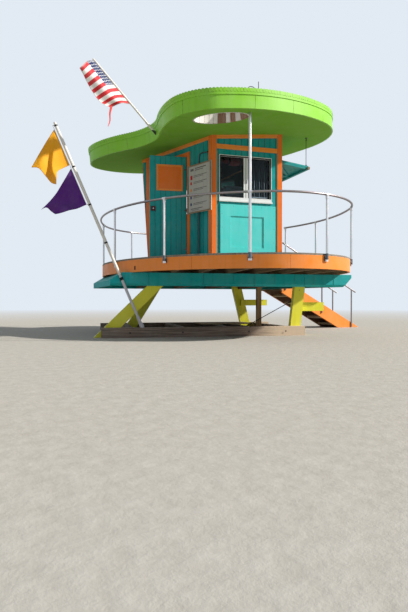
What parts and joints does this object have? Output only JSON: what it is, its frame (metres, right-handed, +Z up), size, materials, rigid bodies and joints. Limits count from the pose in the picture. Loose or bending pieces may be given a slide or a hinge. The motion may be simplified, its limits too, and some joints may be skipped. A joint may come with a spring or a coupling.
{
  "type": "lifeguard tower",
  "caption": "Timber beach lifeguard tower: oval railed deck on raked legs and skids, faceted cabin with awning hatches, tilted palette-shaped roof, flags and a cleated ramp.",
  "frame": {"origin": "on the ground under the middle of the oval deck, on the underside of the middle sleeper", "axes": "+X towards the water, the way the bow of the cabin and the ramp point; +Y to the left of it; +Z up. The skids, legs and floor box are turned 30 degrees clockwise under the deck, seen from above, and the ramp 15 degrees"},
  "size_m": [9.1565, 6.6276, 5.1779],
  "materials": {
    "dark_steel": "matt",
    "teal_paint": "painted, satin",
    "joist_timber": "sawn, matt",
    "orange_paint": "painted, satin",
    "deck_timber": "weathered, matt",
    "brushed_steel": "brushed",
    "turquoise_paint": "painted, satin",
    "leg_paint": "painted, satin",
    "line_cord": "woven",
    "pole_metal": "matt",
    "teal_wall_paint": "painted, satin",
    "galvanised_steel": "galvanised",
    "plywood": "matt",
    "raw_timber": "sawn, matt",
    "purple_cloth": "woven",
    "lime_paint": "painted, satin",
    "weathered_timber": "weathered, matt",
    "sign_paint": "matt",
    "striped_cloth": "woven",
    "white_paint": "painted, satin",
    "window_glass": "clear",
    "yellow_cloth": "woven"
  },
  "bodies": {
    "tower": {"aerial": "dark_steel", "box_ends": "teal_paint", "box_rims": "teal_paint", "cabin_floor": "joist_timber", "corner_trims": "orange_paint", "deck_boards": "deck_timber", "deck_fascia": "orange_paint", "deck_joists": "joist_timber", "door_casing": "orange_paint", "door_hinge_pins": "brushed_steel", "far_legs": "leg_paint", "flag_line": "line_cord", "flag_socket": "pole_metal", "floor_joists": "joist_timber", "front_wall_left": "teal_wall_paint", "front_wall_right": "teal_wall_paint", "handrail": "galvanised_steel", "hatch_rods": "galvanised_steel", "hatches": "teal_wall_paint", "leaning_flagpole": "pole_metal", "leg_stubs": "leg_paint", "lower_panels": "turquoise_paint", "near_legs": "leg_paint", "plywood_sheet": "plywood", "pole_band": "pole_metal", "prop_post": "raw_timber", "purple_flag": "purple_cloth", "rail_posts": "galvanised_steel", "ramp_handrails": "galvanised_steel", "ramp_ledger": "raw_timber", "ramp_stringers": "orange_paint", "ramp_walkway": "raw_timber", "rear_wall_left": "teal_wall_paint", "rear_wall_over_door": "teal_wall_paint", "rear_wall_right": "teal_wall_paint", "roof_edge_strip": "lime_paint", "roof_fascia": "lime_paint", "roof_flagpole": "pole_metal", "roof_hole_lining": "weathered_timber", "roof_soffit": "lime_paint", "roof_top": "lime_paint", "side_wall_left": "teal_wall_paint", "side_wall_right": "teal_wall_paint", "sign_board": "sign_paint", "sign_post": "galvanised_steel", "skids": "weathered_timber", "sleepers": "weathered_timber", "striped_flag": "striped_cloth", "tall_post": "galvanised_steel", "tie_rod": "dark_steel", "wall_trims": "orange_paint", "window_frames": "white_paint", "window_glass": "window_glass", "yellow_flag": "yellow_cloth"},
    "door": {"door_leaf": "turquoise_paint", "door_panel": "orange_paint", "door_lock": "brushed_steel", "door_hinges": "brushed_steel"}
  },
  "joints": [
    {"name": "door_hinge", "type": "hinge", "parent": "tower", "child": "door", "pos_m": [-1.11, -0.3, 0], "axis": [0, 0, 1], "range_deg": [-59, 26]}
  ]
}
